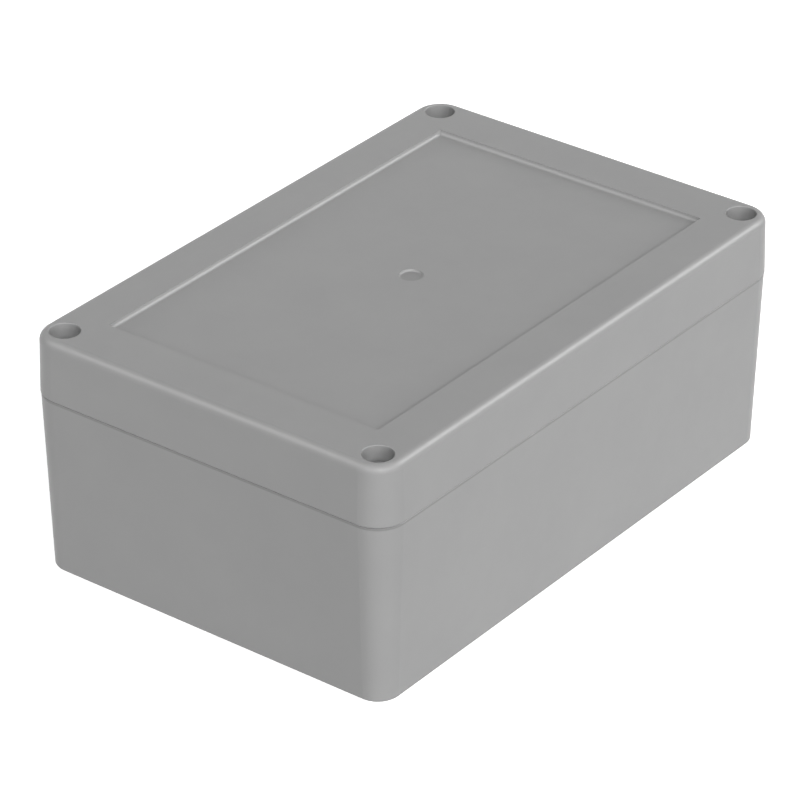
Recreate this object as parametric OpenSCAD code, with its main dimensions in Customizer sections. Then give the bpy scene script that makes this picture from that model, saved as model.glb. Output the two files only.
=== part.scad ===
// Sealed project box: a drafted base, a lid with a sunk label panel, a gasket
// between them, and four lid screws that run into brass inserts in the corner posts.
// The origin is the middle of the underside. The length is along X and +Z is up.

/* [Box] */
// Length over the lid at the parting line
box_l = 150; // [110:1:220]
// Width over the lid at the parting line
box_w = 100; // [80:1:160]
// Height of the closed box
box_h = 60; // [45:1:100]
// Height of the lid, from the parting line to its top face
lid_h = 15; // [13:0.5:22]
// Radius of the upright corners at the parting line
corner_r = 7.2; // [6:0.1:9]
// Radius of the lid's top edge
top_edge_r = 2; // [1:0.1:2.6]
// Radius of the base's bottom edge
bottom_edge_r = 0.6; // [0.3:0.1:1.5]
// Bevel of the lid's lower edge
lid_bevel = 0.3; // [0.1:0.05:0.5]
// Bevel of the base's rim
rim_bevel = 0.1; // [0.05:0.05:0.4]
// How far the base stands in from the lid on each side
base_set_in = 0.15; // [0.05:0.05:0.4]
// Draft of the lid's sides, in degrees
lid_draft = 1.35; // [0.5:0.05:3]
// Draft of the base's sides, inside and out, in degrees
base_draft = 1.85; // [0.5:0.05:2.5]

/* [Walls] */
// Thickness of the base's walls
base_wall = 3; // [2.4:0.1:4]
// Thickness of the base's floor
floor_t = 3; // [2:0.1:5]
// Thickness of the lid's top around the label panel
lid_t = 3.2; // [2.6:0.1:4.5]

/* [Label panel] */
// Width of the lid's frame at each end of the panel
panel_end = 14.15; // [12:0.05:20]
// Width of the lid's frame at each side of the panel
panel_side = 12.35; // [11:0.05:20]
// Depth of the panel
panel_d = 1.15; // [0.6:0.05:1.6]
// Draft of the panel's walls, in degrees
panel_draft = 6; // [2:0.5:15]
// Radius at the foot of the panel's walls
panel_foot_r = 0.95; // [0.3:0.05:1]
// Diameter of the round gate mark in the middle of the panel
gate_d = 5.6; // [4:0.1:10]
// Depth of the gate mark
gate_depth = 0.5; // [0.3:0.05:0.9]
// Draft of the gate mark's wall, in degrees
gate_draft = 20; // [5:1:35]
// Radius at the foot of the gate mark's wall
gate_foot_r = 0.4; // [0.2:0.05:0.5]

/* [Lid screws] */
// Distance from the box's sides to each screw's axis
screw_inset = 6.35; // [6:0.05:7]
// Diameter of the screw's thread
screw_d = 4; // [3:0.1:4.2]
// Diameter of the screw's head
head_d = 6.5; // [5.5:0.1:6.8]
// Height of the screw's head
head_h = 2.6; // [2:0.1:3.2]
// Radius of the head's top edge
head_edge_r = 0.5; // [0.3:0.1:1]
// Depth of the cross in the head
cross_depth = 1.7; // [1:0.1:1.9]
// Width across the cross in the head
cross_l = 4; // [3:0.1:4.6]
// Width of each arm of the cross
cross_w = 0.9; // [0.6:0.1:1.2]
// Depth of the head's top below the lid's top face
head_depth = 3.6; // [2:0.1:5]
// Length of screw below the parting line
screw_grip = 7.2; // [5:0.1:9]
// Gap around the head in its hole in the lid
head_gap = 0.3; // [0.2:0.05:0.5]
// Gap around the screw in the lid
shank_gap = 0.25; // [0.15:0.05:0.4]
// Radius of the hole's edge in the lid's top face
hole_edge_r = 0.2; // [0.1:0.05:0.25]

/* [Inserts] */
// Outer diameter of the brass insert
insert_d = 5.6; // [5:0.1:6.2]
// Length of the insert
insert_l = 8; // [6:0.5:12]
// How far the insert stands below the post's top
insert_sink = 0.2; // [0.1:0.05:0.5]
// Width of the groove around the insert
insert_groove_w = 1.6; // [1:0.1:2]
// Depth of the groove around the insert
insert_groove_d = 0.35; // [0.2:0.05:0.5]
// Gap around the screw in the insert
thread_gap = 0.05; // [0.03:0.01:0.1]
// Gap around the insert in its post
insert_gap = 0.03; // [0.02:0.01:0.1]
// Room for the screw's end below the insert
tip_room = 5; // [3:0.5:8]

/* [Corner posts] */
// Radius of each post about the screw's axis at its top
post_r = 5.6; // [5.4:0.1:6.2]
// Draft of the posts, in degrees
post_draft = 0.5; // [0.2:0.1:1]
// Diameter of the hollow up each post at the underside
core_d = 5.6; // [4:0.1:6]
// Depth of plastic between the hollow and the screw's room
core_stop = 4; // [2.5:0.5:8]
// Draft of the hollow, in degrees
core_draft = 1; // [0.5:0.1:2]

/* [Seal] */
// Width of the tongue around the base's rim
tongue_w = 1.2; // [1:0.05:1.4]
// Height of the tongue above the parting line
tongue_h = 2; // [1.5:0.1:2.5]
// Gap between the tongue and each side of the lid's groove
tongue_gap = 0.4; // [0.3:0.05:0.5]
// Thickness of the rib inside the lid's groove
lip_t = 1.4; // [1:0.1:2]
// Height of the gasket
gasket_h = 1.8; // [1.2:0.1:2.5]
// Gap between the gasket and each side of the groove
gasket_gap = 0.1; // [0.05:0.05:0.2]

/* [Board posts] */
// Distance from the box's end to each board post's axis
board_end = 19; // [18:0.5:35]
// Distance from the box's side to each board post's axis
board_side = 17; // [12:0.5:30]
// Height of the board posts above the floor
board_post_h = 5; // [3:0.5:10]
// Diameter of each board post at its top
board_post_d = 6.4; // [5:0.1:8]
// Draft of the board posts, in degrees
board_post_draft = 2; // [0.5:0.1:3]
// Diameter of the screw hole in each board post
board_hole_d = 2.6; // [2:0.1:3.2]
// Depth of the screw hole below the post's top
board_hole_depth = 6; // [4:0.5:7]

/* [Hidden] */
$fn = 64;

plastic = [0.60, 0.60, 0.60];
rubber = [0.13, 0.13, 0.14];
steel = [0.55, 0.55, 0.56];
brass = [0.78, 0.62, 0.32];

// Cutting tools run past the faces that they open by this much
over = 1;

// Flats in each rounded foot or edge that a cutting tool makes
foot_steps = 8;
edge_steps = 4;

// Rounded edges stand this little proud of the faces beside them, so that they cross
proud = 0.0002;

part_z = box_h - lid_h;

// Centres of the upright corners
corner_x = box_l / 2 - corner_r;
corner_y = box_w / 2 - corner_r;

// The four screw axes
screw_x = box_l / 2 - screw_inset;
screw_y = box_w / 2 - screw_inset;
seat_z = box_h - head_depth - head_h;
tip_z = part_z - screw_grip;
tip_bevel = 0.5;

// The base's rim at the parting line
rim_r = corner_r - base_set_in;
rim_l = box_l - 2 * base_set_in;
rim_w = box_w - 2 * base_set_in;

// The room inside the base at the parting line
room_l = rim_l - 2 * base_wall;
room_w = rim_w - 2 * base_wall;

// Heights of the inserts and the hollows in the posts
insert_z = part_z - insert_sink - insert_l;
tip_room_z = insert_z - tip_room;
core_top_z = tip_room_z - core_stop;

// The groove in the lid
groove_top_z = part_z + tongue_h + gasket_h;

// The board posts
board_x = box_l / 2 - board_end;
board_y = box_w / 2 - board_side;
board_z = floor_t + board_post_h;

front = -1;
rear = 1;
left = -1;
right = 1;

// ---------------------------------------------------------------- profiles

// Distance of a rounded edge's centre from the upright corner's centre. The side has
// its full radius r at z_wide, and leans in by the draft up or down to z_far.
function edge_x(r, z_wide, z_far, draft, edge_r) =
    r - abs(z_far - z_wide) * tan(draft) - edge_r * (1 - sin(draft)) / cos(draft);

// The section of a side, from the upright corner's centre outwards: a bevel at the
// parting line, the drafted wall, and a rounded edge at z_far
module side_section(r, z_far, draft, edge_r) {
    dir = z_far > part_z ? 1 : -1;
    bevel = z_far > part_z ? lid_bevel : rim_bevel;
    z_wide = part_z + dir * bevel;
    x = edge_x(r, z_wide, z_far, draft, edge_r);
    polygon([
        [0, part_z], [r - bevel, part_z], [r, z_wide],
        [x + edge_r * cos(draft), z_far - dir * edge_r * (1 - sin(draft))],
        [x, z_far], [0, z_far]
    ]);
    translate([x, z_far - dir * edge_r])
        circle(r = edge_r + proud);
}

// The section right across, with the upright corners' centres at -x and x
module full_section(x, r, z_far, draft, edge_r) {
    for (side = [0, 1])
        mirror([side, 0])
            translate([x, 0])
                side_section(r, z_far, draft, edge_r);
    translate([-x - over, min(part_z, z_far)])
        square([2 * (x + over), abs(z_far - part_z)]);
}

// A block with drafted sides, rounded upright corners and one rounded edge: its
// section is pushed along X and along Y, and swept round each corner.
module drafted_block(r, z_far, draft, edge_r) {
    rotate([90, 0, 90])
        linear_extrude(height = 2 * corner_x, center = true)
            full_section(corner_y, r, z_far, draft, edge_r);
    rotate([90, 0, 0])
        linear_extrude(height = 2 * corner_y, center = true)
            full_section(corner_x, r, z_far, draft, edge_r);
    for (turn = [0:3])
        at_corner(turn, corner_x, corner_y)
            rotate_extrude(angle = 90)
                side_section(r, z_far, draft, edge_r);
}

// Places a piece made for the corner at +X and +Y in each corner, a quarter turn on
module at_corner(turn, x, y) {
    translate([
        (turn == 0 || turn == 3 ? right : left) * x,
        (turn < 2 ? rear : front) * y,
        0
    ])
        rotate([0, 0, 90 * turn]) children();
}

// The room's section: walls that lean in below the parting line, upright above it
module room_section(span, z_low, z_high) {
    half = span / 2;
    lean = (part_z - z_low) * tan(base_draft);
    polygon([
        [-half + lean, z_low], [half - lean, z_low], [half, part_z],
        [half, z_high], [-half, z_high], [-half, part_z]
    ]);
}

// The line that the seal follows, inside the four posts, moved out by d
module seal_plan(d) {
    r = post_r - d;
    square([room_l + 2 * d, 2 * (screw_y - r)], center = true);
    square([2 * (screw_x - r), room_w + 2 * d], center = true);
    difference() {
        square([2 * screw_x, 2 * screw_y], center = true);
        at_screws() circle(r = r);
    }
}

module seal_ring(inner, outer, z_low, z_high) {
    translate([0, 0, z_low])
        linear_extrude(height = z_high - z_low)
            difference() {
                seal_plan(outer);
                seal_plan(inner);
            }
}

module at_screws() {
    for (sx = [left, right], sy = [front, rear])
        translate([sx * screw_x, sy * screw_y]) children();
}

module at_board_posts() {
    for (sx = [left, right], sy = [front, rear])
        translate([sx * board_x, sy * board_y]) children();
}

// ---------------------------------------------------------------- base

// One corner post, made for the corner at +X and +Y: its rounded side faces -X and -Y
module corner_post(z_low, z_high) {
    foot_r = post_r + (part_z - z_low) * tan(post_draft);
    points = [[0, z_low], [foot_r, z_low], [post_r, part_z], [post_r, z_high], [0, z_high]];
    rotate([0, 0, 180])
        rotate_extrude(angle = 90)
            polygon(points);
    rotate([90, 0, -90])
        translate([0, 0, -screw_inset])
            linear_extrude(height = screw_inset)
                polygon(points);
    rotate([90, 0, 0])
        translate([0, 0, -screw_inset])
            linear_extrude(height = screw_inset)
                mirror([1, 0]) polygon(points);
    translate([0, 0, z_low])
        cube([screw_inset, screw_inset, z_high - z_low]);
}

module board_post() {
    foot_d = board_post_d + 2 * (board_post_h + over) * tan(board_post_draft);
    translate([0, 0, floor_t - over])
        cylinder(d1 = foot_d, d2 = board_post_d, h = board_post_h + over);
}

// The room inside the base, between the posts
module base_room() {
    top_z = part_z + tongue_h + over;
    difference() {
        intersection() {
            rotate([90, 0, 90])
                linear_extrude(height = box_l, center = true)
                    room_section(room_w, floor_t, top_z);
            rotate([90, 0, 0])
                linear_extrude(height = box_w, center = true)
                    room_section(room_l, floor_t, top_z);
        }
        for (turn = [0:3])
            at_corner(turn, screw_x, screw_y)
                corner_post(floor_t - over, top_z + over);
        at_board_posts() board_post();
    }
}

module base_holes() {
    at_screws() {
        translate([0, 0, insert_z])
            cylinder(d = insert_d + 2 * insert_gap, h = part_z - insert_z + over);
        translate([0, 0, tip_room_z])
            cylinder(d = screw_d + 2 * shank_gap, h = insert_z - tip_room_z + over);
        translate([0, 0, -over])
            cylinder(
                d1 = core_d + 2 * over * tan(core_draft),
                d2 = core_d - 2 * core_top_z * tan(core_draft),
                h = core_top_z + over
            );
    }
    at_board_posts()
        translate([0, 0, board_z - board_hole_depth])
            cylinder(d = board_hole_d, h = board_hole_depth + over);
}

module base() {
    color(plastic)
        difference() {
            union() {
                drafted_block(rim_r, 0, base_draft, bottom_edge_r);
                translate([0, 0, part_z - over])
                    linear_extrude(height = tongue_h + over)
                        seal_plan(tongue_w);
            }
            base_room();
            base_holes();
        }
}

// ---------------------------------------------------------------- lid

// The side of a sunk place, from its floor up past its top: a foot rounded in a few
// flats, and a drafted wall that is half_span from the middle at z_top
function sunk_side(half_span, z_top, depth, draft, foot_r) =
    let (x = half_span - depth * tan(draft) - foot_r * (1 - sin(draft)) / cos(draft))
    concat(
        [for (step = [0:foot_steps])
            let (angle = (90 - draft) * step / foot_steps)
            [x + foot_r * sin(angle), z_top - depth + foot_r * (1 - cos(angle))]],
        [[half_span + over * tan(draft), z_top + over]]
    );

module panel_section(span) {
    side = sunk_side(span / 2, box_h, panel_d, panel_draft, panel_foot_r);
    polygon(concat(side, [for (i = [len(side) - 1:-1:0]) [-side[i][0], side[i][1]]]));
}

module label_panel() {
    panel_l = box_l - 2 * panel_end;
    panel_w = box_w - 2 * panel_side;
    intersection() {
        rotate([90, 0, 90])
            linear_extrude(height = box_l, center = true)
                panel_section(panel_w);
        rotate([90, 0, 0])
            linear_extrude(height = box_w, center = true)
                panel_section(panel_l);
    }
    panel_z = box_h - panel_d;
    side = sunk_side(gate_d / 2, panel_z, gate_depth, gate_draft, gate_foot_r);
    rotate_extrude()
        polygon(concat([[0, panel_z + over], [0, panel_z - gate_depth]], side));
}

// The hole for a screw's head, with a rounded edge at the lid's top face
module head_hole() {
    r = head_d / 2 + head_gap;
    edge = [for (step = [0:edge_steps])
        let (angle = 90 * step / edge_steps)
        [r + hole_edge_r * (1 - cos(angle)), box_h - hole_edge_r * (1 - sin(angle))]];
    rotate_extrude()
        polygon(concat(
            [[0, seat_z], [r, seat_z]], edge,
            [[r + hole_edge_r, box_h + over], [0, box_h + over]]
        ));
}

module lid() {
    color(plastic)
        difference() {
            drafted_block(corner_r, box_h, lid_draft, top_edge_r);
            label_panel();
            translate([0, 0, part_z - over])
                linear_extrude(height = lid_h - lid_t + over)
                    seal_plan(-tongue_gap - lip_t);
            seal_ring(-tongue_gap, tongue_w + tongue_gap, part_z - over, groove_top_z);
            at_screws() {
                head_hole();
                translate([0, 0, part_z - over])
                    cylinder(d = screw_d + 2 * shank_gap, h = seat_z - part_z + 2 * over);
            }
        }
}

module gasket() {
    edge = tongue_gap - gasket_gap;
    color(rubber)
        seal_ring(-edge, tongue_w + edge, groove_top_z - gasket_h, groove_top_z);
}

// ---------------------------------------------------------------- fasteners

// One arm of the cross, narrower at its foot
module cross_arm() {
    foot_l = cross_l * 0.4;
    rotate([90, 0, 0])
        linear_extrude(height = cross_w, center = true)
            polygon([
                [-foot_l / 2, -cross_depth], [foot_l / 2, -cross_depth],
                [cross_l / 2, over], [-cross_l / 2, over]
            ]);
}

module screw(sx, sy) {
    head_r = head_d / 2;
    screw_r = screw_d / 2;
    head_z = seat_z + head_h;
    color(steel)
        translate([sx * screw_x, sy * screw_y, 0])
            difference() {
                rotate_extrude() {
                    polygon([
                        [0, tip_z], [screw_r - tip_bevel, tip_z], [screw_r, tip_z + tip_bevel],
                        [screw_r, seat_z], [head_r, seat_z], [head_r, head_z - head_edge_r],
                        [head_r - head_edge_r, head_z], [0, head_z]
                    ]);
                    intersection() {
                        translate([head_r - head_edge_r, head_z - head_edge_r])
                            circle(r = head_edge_r);
                        translate([0, seat_z])
                            square([head_r, head_h]);
                    }
                }
                translate([0, 0, head_z]) {
                    cross_arm();
                    rotate([0, 0, 90]) cross_arm();
                }
            }
}

module insert(sx, sy) {
    outer_r = insert_d / 2;
    bore_r = screw_d / 2 + thread_gap;
    groove_r = outer_r - insert_groove_d;
    mid_z = insert_z + insert_l / 2;
    top_z = insert_z + insert_l;
    color(brass)
        translate([sx * screw_x, sy * screw_y, 0])
            rotate_extrude()
                polygon([
                    [bore_r, insert_z], [outer_r, insert_z],
                    [outer_r, mid_z - insert_groove_w / 2], [groove_r, mid_z - insert_groove_w / 2],
                    [groove_r, mid_z + insert_groove_w / 2], [outer_r, mid_z + insert_groove_w / 2],
                    [outer_r, top_z], [bore_r, top_z]
                ]);
}

base();
lid();
gasket();
screw(left, front);  // screw_front_left
screw(right, front);  // screw_front_right
screw(left, rear);  // screw_rear_left
screw(right, rear);  // screw_rear_right
insert(left, front);  // insert_front_left
insert(right, front);  // insert_front_right
insert(left, rear);  // insert_rear_left
insert(right, rear);  // insert_rear_right
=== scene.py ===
"""Looks of the sealed project box: grey moulded plastic, rubber gasket, steel lid screws and
brass inserts, on a white floor in soft studio light. Lengths are in metres."""

import math

import bmesh
import bpy
from mathutils import Matrix, Vector


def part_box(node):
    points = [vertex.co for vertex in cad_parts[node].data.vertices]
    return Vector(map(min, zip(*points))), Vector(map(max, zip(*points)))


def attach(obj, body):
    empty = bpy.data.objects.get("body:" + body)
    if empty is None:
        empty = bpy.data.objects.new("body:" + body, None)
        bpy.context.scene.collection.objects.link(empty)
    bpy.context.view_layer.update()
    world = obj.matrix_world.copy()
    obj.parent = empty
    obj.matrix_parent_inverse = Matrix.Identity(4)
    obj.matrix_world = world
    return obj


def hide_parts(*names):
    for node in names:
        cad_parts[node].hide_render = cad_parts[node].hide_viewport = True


MM = 0.001
CORNERS = ("front_left", "front_right", "rear_left", "rear_right")

# Thread of the screws and the inserts. Its height runs from 0 at the root to 1 at the crest.
PITCH = 0.7 * MM
THREAD_PEAK = 1.25
THREAD_FALL = 2.9

# Screw, M4 with a cheese head and a cross recess
SCREW_R = 2.0 * MM
SCREW_CORE_R = 1.6 * MM
SCREW_POINTS = 48
SCREW_RINGS_A_TURN = 9
TIP_BEVEL = 0.5 * MM
NECK_H = 0.9 * MM
NECK_STEP = 0.2 * MM
HEAD_H = 2.6 * MM
HEAD_UNDER_BEVEL = 0.2 * MM
HEAD_EDGE_R = 0.5 * MM
HEAD_EDGE_STEPS = 7
CROSS_L = 4.0 * MM
CROSS_FOOT_L = 1.6 * MM
CROSS_W = 0.9 * MM
CROSS_FOOT_W = 0.62 * MM
CROSS_DEPTH = 1.7 * MM
CROSS_TURN = math.radians(20)

# Brass insert with two knurled bands
INSERT_BORE_R = 2.05 * MM
INSERT_THREAD_D = 0.35 * MM
INSERT_RINGS_A_TURN = 6
INSERT_BEVEL = 0.25 * MM
INSERT_GROOVE_W = 1.6 * MM
INSERT_GROOVE_D = 0.35 * MM
KNURL_D = 0.2 * MM
KNURL_TEETH = 28
KNURL_POINTS_A_TOOTH = 4
KNURL_RINGS = 8
KNURL_TWIST = math.radians(24)

# Edges sharper than this are drawn sharp on the screws and the inserts
SHARP_ANGLE = math.radians(35)

# Camera: a long lens, looking down at the corner between the left end and the front
CAMERA_LENS = 200.3
CAMERA_SENSOR = 36.0
CAMERA_AZIMUTH = math.radians(-52.52)
CAMERA_ELEVATION = math.radians(30.0)
CAMERA_DISTANCE = 1.0185
CAMERA_TARGET = Vector((-0.00415, 0.0, 0.02812))
CAMERA_REACH = 20.0

# Where a noise starts and stops to change a colour or a roughness
NOISE_ENDS = (0.3, 0.7)
FLOW_ENDS = (0.25, 0.75)

# Grey plastic: the flow mottles its colour, and the skin and the grain give its surface
PLASTIC_TONES = ((0.250, 0.250, 0.250), (0.261, 0.261, 0.260))
PLASTIC_ROUGH = (0.36, 0.41)
PLASTIC_IOR = 1.46
FLOW_SCALE = 70
FLOW_DETAIL = 3.0
SKIN_SCALE = 260
SKIN_HEIGHT = 0.02 * MM
SKIN_STRENGTH = 0.35
GRAIN_SCALE = 1900
GRAIN_HEIGHT = 0.012 * MM
GRAIN_STRENGTH = 0.5

# Painted shade: a dark line painted where the base and the lid meet, just below the lid's rim
SEAM_DROP = 0.2 * MM
SEAM_LINE = 0.2 * MM
SEAM_FADE = 0.55 * MM
SEAM_PAINTED_SHADE = 0.72
SEAM_MAX_LEAN = 0.9

# The darker floor of the gate mark in the middle of the label panel. It lies between these
# depths below the lid's top.
GATE_DEPTHS = (1.4 * MM, 2.0 * MM)
GATE_R = 2.1 * MM
GATE_FADE = 2.5 * MM
GATE_SHADE = 0.86

# Gasket rubber
RUBBER_TONES = ((0.017, 0.017, 0.018), (0.027, 0.027, 0.028))
RUBBER_ROUGH = (0.68, 0.86)
RUBBER_IOR = 1.5
CLOUD_SCALE = 240
PORE_SCALE = 2600
PORE_DETAIL = 3.0
PORE_GRIT = 0.7
PORE_HEIGHT = 0.05 * MM
PORE_STRENGTH = 0.6

# Steel of the screws and brass of the inserts
STEEL_TONES = ((0.34, 0.34, 0.35), (0.43, 0.43, 0.44))
STEEL_ROUGH = (0.30, 0.42)
BRASS_TONES = ((0.56, 0.38, 0.15), (0.68, 0.49, 0.22))
BRASS_ROUGH = (0.28, 0.40)
STAIN_SCALE = 900
MARK_SCALE = 5200
MARK_GRIT = 0.6
MARK_HEIGHT = 0.01 * MM
MARK_STRENGTH = 0.5

# Soft lamps: name, azimuth and elevation of the side that the light comes from, strength,
# softness, and what the lamp lights: the surface, its gloss or both. Angles are in degrees. The
# low lamps would glare across the lid's top, and the edge lamps only brighten rounded edges.
SUNS = (
    ("front", 0, 36, 1.15, 25, "both"),
    ("front_left", -40, 36, 1.5, 25, "both"),
    ("left", -90, 36, 0.62, 25, "both"),
    ("low_left", -38, 9, 1.55, 25, "surface"),
    ("low_right", 95, 4, 1.1, 25, "surface"),
    ("low_rear", 165, 4, 1.2, 25, "surface"),
    ("edge_right", 55, 32, 1.7, 34, "gloss"),
    ("edge_rear", -136, 43, 0.85, 36, "gloss"),
)

# The world's light on things, and how it is seen
AMBIENT = 0.2
SEEN = 1.0

# The floor as it is seen, with the glow that makes it white, and as it lights things
FLOOR_PALE = 0.8
FLOOR_GLOW = 0.7
FLOOR_DULL = 0.2
FLOOR_HALF = 3.0
FLOOR_DROP = 0.05 * MM


# ---------------------------------------------------------------- node helpers


def grey(level):
    return (level, level, level, 1.0)


def new_material(name):
    material = bpy.data.materials.new(name)
    material.use_nodes = True
    tree = material.node_tree
    tree.nodes.clear()
    return material, tree


def add_node(tree, kind, **values):
    node = tree.nodes.new(kind)
    for key, value in values.items():
        if key in node.inputs:
            node.inputs[key].default_value = value
        else:
            setattr(node, key, value)
    return node


def math_node(tree, operation, first, second=None):
    node = add_node(tree, "ShaderNodeMath", operation=operation)
    for place, value in enumerate((first, second)):
        if isinstance(value, (int, float)):
            node.inputs[place].default_value = value
        elif value is not None:
            tree.links.new(value, node.inputs[place])
    return node.outputs["Value"]


def map_range(tree, value, ends, results, steps="LINEAR"):
    """The value carried from between its two ends to between the two results."""
    node = add_node(tree, "ShaderNodeMapRange", interpolation_type=steps)
    names = ("From Min", "From Max", "To Min", "To Max")
    for name, number in zip(names, (*ends, *results)):
        node.inputs[name].default_value = number
    tree.links.new(value, node.inputs["Value"])
    return node.outputs["Result"]


def fade_out(tree, value, start, end):
    """1 below start and 0 above end, with a smooth step between."""
    return map_range(tree, value, (start, end), (1.0, 0.0), "SMOOTHSTEP")


def position(tree):
    """The place of each point in the piece's own frame."""
    return add_node(tree, "ShaderNodeTexCoord").outputs["Object"]


def axes(tree, vector):
    """The vector's X, Y and Z."""
    node = add_node(tree, "ShaderNodeSeparateXYZ")
    tree.links.new(vector, node.inputs["Vector"])
    return [node.outputs[axis] for axis in "XYZ"]


def noise(tree, scale, detail=2.0, roughness=0.5):
    node = add_node(tree, "ShaderNodeTexNoise", Scale=scale, Detail=detail, Roughness=roughness)
    tree.links.new(position(tree), node.inputs["Vector"])
    return node.outputs["Fac"]


def ramp(tree, source, ends, colours):
    node = tree.nodes.new("ShaderNodeValToRGB")
    for element, end, colour in zip(node.color_ramp.elements, ends, colours):
        element.position = end
        element.color = (*colour, 1.0)
    tree.links.new(source, node.inputs["Fac"])
    return node.outputs["Color"]


def spread(tree, source, low, high):
    """The noise spread evenly from low to high."""
    return map_range(tree, source, NOISE_ENDS, (low, high))


def bump(tree, height, distance, strength, below=None):
    node = add_node(tree, "ShaderNodeBump", Strength=strength, Distance=distance)
    tree.links.new(height, node.inputs["Height"])
    if below is not None:
        tree.links.new(below, node.inputs["Normal"])
    return node.outputs["Normal"]


def shader(tree, colour, roughness, normal, **values):
    node = add_node(tree, "ShaderNodeBsdfPrincipled", **values)
    tree.links.new(colour, node.inputs["Base Color"])
    tree.links.new(roughness, node.inputs["Roughness"])
    tree.links.new(normal, node.inputs["Normal"])
    out = tree.nodes.new("ShaderNodeOutputMaterial")
    tree.links.new(node.outputs["BSDF"], out.inputs["Surface"])


# ---------------------------------------------------------------- materials


def painted_seam_shade(tree):
    """Where shade is painted at the seam: 1 on upright faces where the base and the lid meet,
    and 0 elsewhere.
    """
    lid_low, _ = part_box("lid")
    height = axes(tree, position(tree))[2]
    off = math_node(tree, "ABSOLUTE", math_node(tree, "SUBTRACT", height, lid_low.z - SEAM_DROP))
    near = fade_out(tree, off, SEAM_LINE, SEAM_FADE)
    facing = add_node(tree, "ShaderNodeNewGeometry").outputs["Normal"]
    lean = math_node(tree, "ABSOLUTE", axes(tree, facing)[2])
    upright = math_node(tree, "LESS_THAN", lean, SEAM_MAX_LEAN)
    return math_node(tree, "MULTIPLY", near, upright)


def gate_floor(tree):
    """1 on the floor of the gate mark, and 0 elsewhere."""
    _, lid_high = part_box("lid")
    highest, lowest = (lid_high.z - depth for depth in GATE_DEPTHS)
    x, y, height = axes(tree, position(tree))
    squares = math_node(
        tree, "ADD", math_node(tree, "MULTIPLY", x, x), math_node(tree, "MULTIPLY", y, y)
    )
    near = fade_out(tree, math_node(tree, "SQRT", squares), GATE_R, GATE_FADE)
    above = math_node(tree, "GREATER_THAN", height, lowest)
    below = math_node(tree, "LESS_THAN", height, highest)
    return math_node(tree, "MULTIPLY", near, math_node(tree, "MULTIPLY", above, below))


def darken(tree, colour, amount, shade):
    """The colour, times shade where amount is 1."""
    node = add_node(tree, "ShaderNodeMixRGB", blend_type="MULTIPLY", Color2=grey(shade))
    tree.links.new(amount, node.inputs["Fac"])
    tree.links.new(colour, node.inputs["Color1"])
    return node.outputs["Color"]


def plastic_material():
    """Grey ABS: fine grain, a faint flow mottle, painted shade at the seam, and darker at the
    gate mark.
    """
    material, tree = new_material("grey_plastic")
    flow = noise(tree, FLOW_SCALE, FLOW_DETAIL)
    grain = noise(tree, GRAIN_SCALE)
    skin = noise(tree, SKIN_SCALE)
    colour = ramp(tree, flow, FLOW_ENDS, PLASTIC_TONES)
    # Painted shade: the colour is darkened along the seam, where the gap between the parts is in
    # shadow.
    colour = darken(tree, colour, painted_seam_shade(tree), SEAM_PAINTED_SHADE)
    colour = darken(tree, colour, gate_floor(tree), GATE_SHADE)
    rough = spread(tree, skin, *PLASTIC_ROUGH)
    normal = bump(tree, skin, SKIN_HEIGHT, SKIN_STRENGTH)
    normal = bump(tree, grain, GRAIN_HEIGHT, GRAIN_STRENGTH, normal)
    shader(tree, colour, rough, normal, IOR=PLASTIC_IOR)
    return material


def rubber_material():
    """Black foamed rubber with fine pores."""
    material, tree = new_material("gasket_rubber")
    pores = noise(tree, PORE_SCALE, PORE_DETAIL, PORE_GRIT)
    cloud = noise(tree, CLOUD_SCALE)
    colour = ramp(tree, cloud, NOISE_ENDS, RUBBER_TONES)
    rough = spread(tree, pores, *RUBBER_ROUGH)
    normal = bump(tree, pores, PORE_HEIGHT, PORE_STRENGTH)
    shader(tree, colour, rough, normal, IOR=RUBBER_IOR)
    return material


def metal_material(name, tones, roughness):
    """Machined metal: fine turning marks and slight stains."""
    material, tree = new_material(name)
    marks = noise(tree, MARK_SCALE, roughness=MARK_GRIT)
    stain = noise(tree, STAIN_SCALE)
    colour = ramp(tree, stain, NOISE_ENDS, tones)
    rough = spread(tree, stain, *roughness)
    normal = bump(tree, marks, MARK_HEIGHT, MARK_STRENGTH)
    shader(tree, colour, rough, normal, Metallic=1.0)
    return material


# ---------------------------------------------------------------- meshes


def new_object(name, mesh, material):
    piece = bpy.data.objects.new(name, mesh)
    bpy.context.scene.collection.objects.link(piece)
    mesh.materials.append(material)
    return piece


def grid_mesh(name, rings, close_ends):
    """A mesh from rings of equally many points, each joined to the next. Its end rings are
    closed, or else the last is joined to the first."""
    made = bmesh.new()
    rows = [[made.verts.new(point) for point in points] for points in rings]
    count = len(rows[0])
    pairs = list(zip(rows, rows[1:]))
    if not close_ends:
        pairs.append((rows[-1], rows[0]))
    for low, high in pairs:
        for i in range(count):
            j = (i + 1) % count
            made.faces.new((low[i], low[j], high[j], high[i]))
    if close_ends:
        made.faces.new(list(reversed(rows[0])))
        made.faces.new(rows[-1])
    bmesh.ops.recalc_face_normals(made, faces=made.faces)
    mesh = bpy.data.meshes.new(name)
    made.to_mesh(mesh)
    made.free()
    return mesh


def ring(radius_at, z, count):
    """Points all round the axis at height z, each at the radius given for its turn."""
    points = []
    for i in range(count):
        turn = 2 * math.pi * i / count
        r = radius_at(turn)
        points.append((r * math.cos(turn), r * math.sin(turn), z))
    return points


def thread_depth(turn, z):
    """How far the thread stands above its root at this place, from 0 to 1."""
    place = (z / PITCH - turn / (2 * math.pi)) % 1.0
    return max(0.0, min(1.0, THREAD_PEAK - THREAD_FALL * abs(place - 0.5)))


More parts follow.
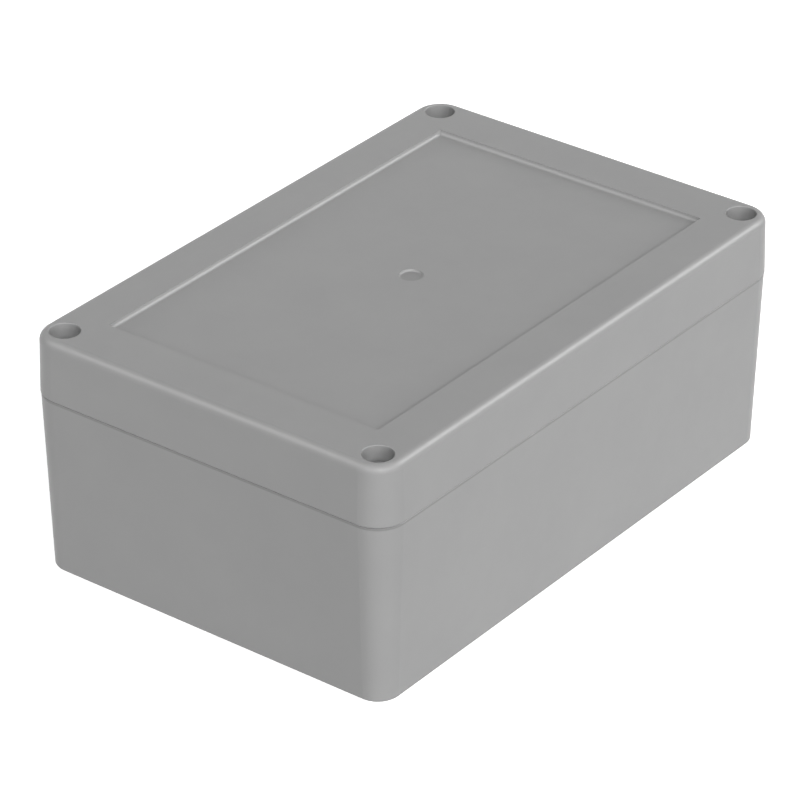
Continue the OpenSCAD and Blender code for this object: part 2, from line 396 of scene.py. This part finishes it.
def cut(piece, tool):
    """Cuts the tool out of the piece's mesh, and removes the tool."""
    change = piece.modifiers.new("cut", "BOOLEAN")
    change.operation = "DIFFERENCE"
    change.solver = "EXACT"
    change.object = tool
    depsgraph = bpy.context.evaluated_depsgraph_get()
    mesh = bpy.data.meshes.new_from_object(piece.evaluated_get(depsgraph))
    piece.modifiers.clear()
    piece.data = mesh
    bpy.data.objects.remove(tool)


def cross_tool(height, turn):
    """One arm of the cross recess, tapered towards its foot. It runs on above the head's top,
    which is at this height, so that it cuts clean through it."""
    made = bmesh.new()
    above = HEAD_EDGE_R
    grow = 1 + above / CROSS_DEPTH
    top_l = CROSS_FOOT_L + (CROSS_L - CROSS_FOOT_L) * grow
    top_w = CROSS_FOOT_W + (CROSS_W - CROSS_FOOT_W) * grow
    corners = []
    for z, length, width in (
        (-CROSS_DEPTH, CROSS_FOOT_L, CROSS_FOOT_W),
        (above, top_l, top_w),
    ):
        for sx, sy in ((-1, -1), (1, -1), (1, 1), (-1, 1)):
            corners.append(made.verts.new((sx * length / 2, sy * width / 2, z)))
    foot, top = (3, 2, 1, 0), (4, 5, 6, 7)
    sides = ((0, 1, 5, 4), (1, 2, 6, 5), (2, 3, 7, 6), (3, 0, 4, 7))
    for face in (foot, top, *sides):
        made.faces.new([corners[i] for i in face])
    bmesh.ops.transform(
        made,
        matrix=Matrix.Translation((0, 0, height)) @ Matrix.Rotation(turn, 4, "Z"),
        verts=made.verts,
    )
    mesh = bpy.data.meshes.new("tool")
    made.to_mesh(mesh)
    made.free()
    tool = bpy.data.objects.new("tool", mesh)
    bpy.context.scene.collection.objects.link(tool)
    return tool


def screw_rings(length, head_r):
    """The screw's rings from its tip up: bevelled end, thread, neck, and rounded head."""
    rings = []
    neck_z = length - HEAD_H - NECK_H
    steps = int(neck_z / (PITCH / SCREW_RINGS_A_TURN))
    for i in range(steps + 1):
        z = neck_z * i / steps
        limit = SCREW_R - TIP_BEVEL + min(TIP_BEVEL, z)
        fade = min(1.0, max(0.0, (neck_z - z) / PITCH))

        def radius(turn, z=z, limit=limit, fade=fade):
            depth = thread_depth(turn, z) * fade
            return min(limit, SCREW_CORE_R + (SCREW_R - SCREW_CORE_R) * depth)

        rings.append(ring(radius, z, SCREW_POINTS))
    seat_z = length - HEAD_H
    neck_r = SCREW_CORE_R + NECK_STEP
    outline = [(neck_r, neck_z + NECK_STEP), (neck_r, seat_z)]
    outline += [(head_r - HEAD_UNDER_BEVEL, seat_z), (head_r, seat_z + HEAD_UNDER_BEVEL)]
    for i in range(HEAD_EDGE_STEPS + 1):
        turn = math.pi / 2 * i / HEAD_EDGE_STEPS
        outline.append((
            head_r - HEAD_EDGE_R + HEAD_EDGE_R * math.cos(turn),
            length - HEAD_EDGE_R + HEAD_EDGE_R * math.sin(turn),
        ))
    for r, z in outline:
        rings.append(ring(lambda turn, r=r: r, z, SCREW_POINTS))
    return rings


def insert_rings(length, outer_r):
    """The insert's rings: up the knurled outside, over the top, and down the threaded bore."""
    count = KNURL_TEETH * KNURL_POINTS_A_TOOTH
    edge = INSERT_BEVEL
    band_low = (length - INSERT_GROOVE_W) / 2
    band_high = (length + INSERT_GROOVE_W) / 2
    groove_r = outer_r - INSERT_GROOVE_D
    rings = []

    def knurled(z, lean):
        def radius(turn):
            wave = (KNURL_TEETH * turn + KNURL_TEETH * lean * z / outer_r) % (2 * math.pi)
            return outer_r - KNURL_D * abs(1 - wave / math.pi)
        rings.append(ring(radius, z, count))

    def plain(r, z):
        rings.append(ring(lambda turn: r, z, count))

    plain(outer_r - KNURL_D - edge, 0.0)
    for i in range(KNURL_RINGS + 1):
        knurled(edge + (band_low - 2 * edge) * i / KNURL_RINGS, math.tan(KNURL_TWIST))
    plain(groove_r, band_low)
    plain(groove_r, band_high)
    for i in range(KNURL_RINGS + 1):
        z = band_high + edge + (length - band_high - 2 * edge) * i / KNURL_RINGS
        knurled(z, -math.tan(KNURL_TWIST))
    plain(outer_r - KNURL_D - edge, length)
    plain(INSERT_BORE_R + edge, length)
    steps = int(length / (PITCH / INSERT_RINGS_A_TURN))
    for i in range(steps + 1):
        z = length - edge - (length - 2 * edge) * i / steps

        def bore(turn, z=z):
            return INSERT_BORE_R + INSERT_THREAD_D * (1 - thread_depth(turn, z))

        rings.append(ring(bore, z, count))
    plain(INSERT_BORE_R + edge, 0.0)
    return rings


def finish_piece(piece, node, body):
    """Puts a piece made about its own axis where its CAD node is, and shades its curves."""
    low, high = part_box(node)
    piece.location = ((low.x + high.x) / 2, (low.y + high.y) / 2, low.z)
    for face in piece.data.polygons:
        face.use_smooth = True
    piece.data.set_sharp_from_angle(angle=SHARP_ANGLE)
    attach(piece, body)
    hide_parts(node)


def add_screw(corner, material):
    node = "screw_" + corner
    low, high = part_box(node)
    length = high.z - low.z
    head_r = (high.x - low.x) / 2
    rings = screw_rings(length, head_r)
    piece = new_object("screw_piece_" + corner, grid_mesh(node, rings, True), material)
    for turn in (0.0, math.pi / 2):
        cut(piece, cross_tool(length, turn + CROSS_TURN))
    finish_piece(piece, node, node)


def add_insert(corner, material):
    node = "insert_" + corner
    low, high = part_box(node)
    rings = insert_rings(high.z - low.z, (high.x - low.x) / 2)
    piece = new_object("insert_piece_" + corner, grid_mesh(node, rings, False), material)
    finish_piece(piece, node, "base")


# ---------------------------------------------------------------- floor, light and camera


def backdrop_rays(tree):
    """1 for camera, glossy and transmission rays, and 0 for the light that falls on things."""
    path = add_node(tree, "ShaderNodeLightPath")
    total = path.outputs["Is Camera Ray"]
    for kind in ("Is Glossy Ray", "Is Transmission Ray"):
        total = math_node(tree, "MAXIMUM", total, path.outputs[kind])
    return total


def backdrop_shader(tree, lit, seen, output):
    """Ends the tree with what lights things, and with what is seen in its place."""
    mix = tree.nodes.new("ShaderNodeMixShader")
    out = tree.nodes.new(output)
    tree.links.new(backdrop_rays(tree), mix.inputs["Fac"])
    tree.links.new(lit, mix.inputs[1])
    tree.links.new(seen, mix.inputs[2])
    tree.links.new(mix.outputs["Shader"], out.inputs["Surface"])


def add_world():
    world = bpy.data.worlds.new("studio")
    bpy.context.scene.world = world
    world.use_nodes = True
    tree = world.node_tree
    tree.nodes.clear()
    lit, seen = (
        add_node(tree, "ShaderNodeBackground", Color=grey(1.0), Strength=strength)
        for strength in (AMBIENT, SEEN)
    )
    backdrop_shader(
        tree, lit.outputs["Background"], seen.outputs["Background"], "ShaderNodeOutputWorld"
    )


def add_floor():
    """A floor that is seen white, with the object's shadow, and throws little light back."""
    material, tree = new_material("white_floor")
    pale = add_node(tree, "ShaderNodeBsdfDiffuse", Color=grey(FLOOR_PALE))
    dull = add_node(tree, "ShaderNodeBsdfDiffuse", Color=grey(FLOOR_DULL))
    glow = add_node(tree, "ShaderNodeEmission", Color=grey(1.0), Strength=FLOOR_GLOW)
    seen = tree.nodes.new("ShaderNodeAddShader")
    tree.links.new(pale.outputs["BSDF"], seen.inputs[0])
    tree.links.new(glow.outputs["Emission"], seen.inputs[1])
    backdrop_shader(
        tree, dull.outputs["BSDF"], seen.outputs["Shader"], "ShaderNodeOutputMaterial"
    )
    mesh = bpy.data.meshes.new("floor")
    corners = [
        (sx * FLOOR_HALF, sy * FLOOR_HALF, 0) for sx, sy in ((-1, -1), (1, -1), (1, 1), (-1, 1))
    ]
    mesh.from_pydata(corners, [], [(0, 1, 2, 3)])
    floor = new_object("floor", mesh, material)
    floor.location.z = -FLOOR_DROP


def from_side(azimuth, elevation):
    """The direction from the object towards a lamp or the camera."""
    return Vector((
        math.sin(azimuth) * math.cos(elevation),
        -math.cos(azimuth) * math.cos(elevation),
        math.sin(elevation),
    ))


def add_suns():
    for name, azimuth, elevation, strength, softness, lights in SUNS:
        lamp = bpy.data.lights.new("lamp_" + name, "SUN")
        lamp.energy = strength
        lamp.angle = math.radians(softness)
        holder = bpy.data.objects.new("lamp_" + name, lamp)
        holder.location = from_side(math.radians(azimuth), math.radians(elevation))
        holder.rotation_euler = (math.radians(90 - elevation), 0, math.radians(azimuth))
        holder.visible_diffuse = lights != "gloss"
        holder.visible_glossy = lights != "surface"
        bpy.context.scene.collection.objects.link(holder)


def add_camera():
    lens = bpy.data.cameras.new("camera")
    lens.lens = CAMERA_LENS
    lens.sensor_width = CAMERA_SENSOR
    lens.clip_end = CAMERA_REACH
    camera = bpy.data.objects.new("camera", lens)
    camera.location = CAMERA_TARGET + CAMERA_DISTANCE * from_side(
        CAMERA_AZIMUTH, CAMERA_ELEVATION
    )
    camera.rotation_euler = (math.pi / 2 - CAMERA_ELEVATION, 0, CAMERA_AZIMUTH)
    bpy.context.scene.collection.objects.link(camera)
    bpy.context.scene.camera = camera


# ---------------------------------------------------------------- the scene

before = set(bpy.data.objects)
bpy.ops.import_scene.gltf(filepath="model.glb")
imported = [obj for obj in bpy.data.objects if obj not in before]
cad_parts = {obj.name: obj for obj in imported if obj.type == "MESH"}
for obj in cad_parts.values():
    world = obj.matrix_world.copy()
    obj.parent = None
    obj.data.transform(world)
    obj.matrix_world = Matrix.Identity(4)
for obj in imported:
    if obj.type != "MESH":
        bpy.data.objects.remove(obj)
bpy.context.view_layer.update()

plastic = plastic_material()
rubber = rubber_material()
steel = metal_material("zinc_steel", STEEL_TONES, STEEL_ROUGH)
brass = metal_material("insert_brass", BRASS_TONES, BRASS_ROUGH)

for name, material in (("base", plastic), ("lid", plastic), ("gasket", rubber)):
    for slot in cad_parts[name].material_slots:
        slot.material = material
for corner in CORNERS:
    add_screw(corner, steel)
    add_insert(corner, brass)

add_world()
add_floor()
add_suns()
add_camera()
bpy.context.scene.view_settings.view_transform = "Standard"
